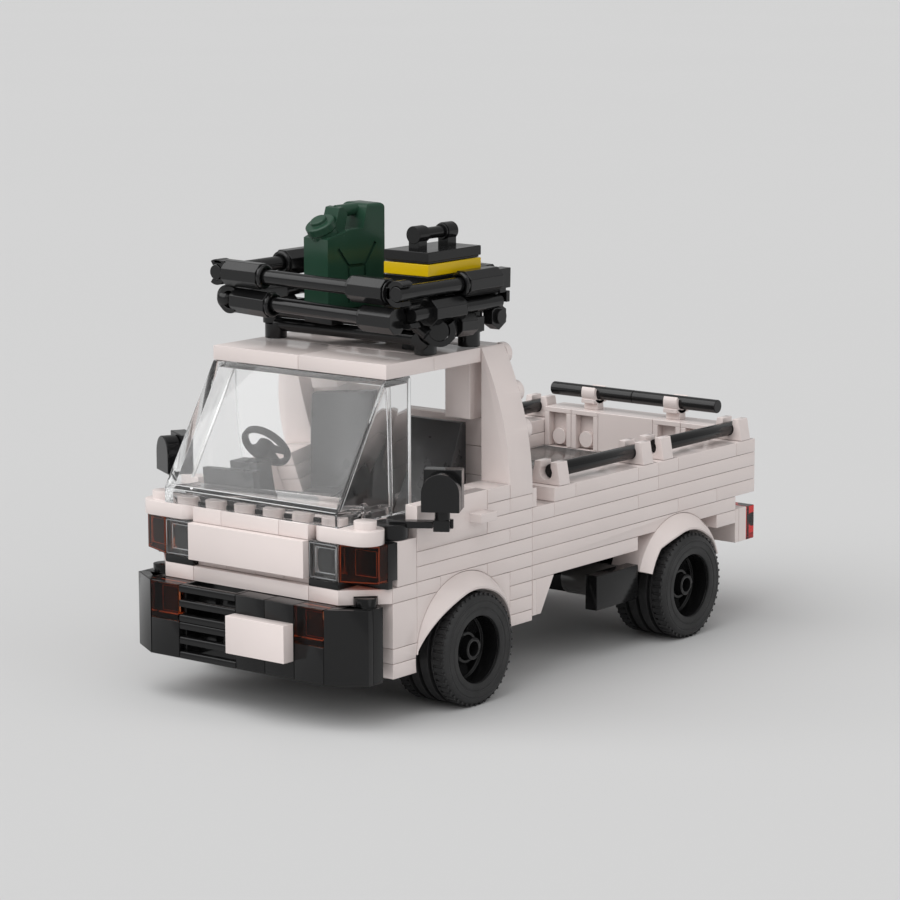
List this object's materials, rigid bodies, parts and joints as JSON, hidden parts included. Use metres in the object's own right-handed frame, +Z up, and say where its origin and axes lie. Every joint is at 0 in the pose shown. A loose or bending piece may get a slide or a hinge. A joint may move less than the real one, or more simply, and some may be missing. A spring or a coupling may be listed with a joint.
{
  "type": "toy kei truck of interlocking bricks",
  "caption": "Small flatbed kei truck model of interlocking plastic bricks: open load bed with rail bars, clear windscreen, roof rack with a can and a toolbox, rolling wheels.",
  "frame": {"origin": "ground level under the middle of the truck", "axes": "+Z up, front towards -Y, the driver's left towards +X"},
  "size_m": [0.0844, 0.152, 0.1037],
  "materials": {
    "white_plastic": "glossy",
    "black_plastic": "glossy",
    "dark_grey_plastic": "glossy",
    "tyre_rubber": "matte",
    "clear_glass": "glossy",
    "clear_amber": "glossy",
    "clear_red": "glossy",
    "dark_green_plastic": "glossy",
    "yellow_plastic": "glossy"
  },
  "bodies": {
    "truck_body": {"chassis_frame": "black_plastic", "wheel_carriers": "black_plastic", "side_box": "black_plastic", "side_drum": "dark_grey_plastic", "fender_front_left": "white_plastic", "fender_front_right": "white_plastic", "fender_rear_left": "white_plastic", "fender_rear_right": "white_plastic", "cab_side_left": "white_plastic", "cab_side_right": "white_plastic", "cab_front_wall": "white_plastic", "hood_panel": "white_plastic", "headlamps": "clear_glass", "corner_lamps": "clear_amber", "lamp_backs": "black_plastic", "lamp_top_plates": "white_plastic", "bumper_core": "black_plastic", "bumper_corners": "black_plastic", "grille_slats": "black_plastic", "bumper_lamps": "clear_amber", "licence_plate": "white_plastic", "windscreen": "clear_glass", "roof": "white_plastic", "pillar_left": "white_plastic", "pillar_right": "white_plastic", "cab_back_wall": "white_plastic", "cab_floor": "dark_grey_plastic", "dashboard": "black_plastic", "steering_wheel": "black_plastic", "seat_left": "black_plastic", "seat_right": "black_plastic", "bed_floor": "dark_grey_plastic", "bed_side_left": "white_plastic", "bed_side_right": "white_plastic", "bed_gate": "white_plastic", "rail_clips": "white_plastic", "rail_bars": "black_plastic", "gate_bar": "black_plastic", "tail_lamps": "clear_red", "mud_flaps": "white_plastic", "mirror_left": "black_plastic", "mirror_right": "black_plastic", "rack_lower_frame": "black_plastic", "rack_upper_frame": "black_plastic", "rack_feet": "black_plastic", "rack_deck": "black_plastic", "jerrycan": "dark_green_plastic", "toolbox_base": "yellow_plastic", "toolbox_lid": "black_plastic"},
    "wheel_front_left": {"rim_front_left": "black_plastic", "tyre_front_left": "tyre_rubber"},
    "wheel_front_right": {"rim_front_right": "black_plastic", "tyre_front_right": "tyre_rubber"},
    "wheel_rear_left": {"rim_rear_left": "black_plastic", "tyre_rear_left": "tyre_rubber"},
    "wheel_rear_right": {"rim_rear_right": "black_plastic", "tyre_rear_right": "tyre_rubber"}
  },
  "joints": [
    {"name": "roll_front_left", "type": "hinge", "parent": "truck_body", "child": "wheel_front_left", "pos_m": [0.029, -0.036, 0.01215], "axis": [1, 0, 0], "continuous": true},
    {"name": "roll_front_right", "type": "hinge", "parent": "truck_body", "child": "wheel_front_right", "pos_m": [-0.029, -0.036, 0.01215], "axis": [1, 0, 0], "continuous": true},
    {"name": "roll_rear_left", "type": "hinge", "parent": "truck_body", "child": "wheel_rear_left", "pos_m": [0.029, 0.044, 0.01215], "axis": [1, 0, 0], "continuous": true},
    {"name": "roll_rear_right", "type": "hinge", "parent": "truck_body", "child": "wheel_rear_right", "pos_m": [-0.029, 0.044, 0.01215], "axis": [1, 0, 0], "continuous": true}
  ]
}
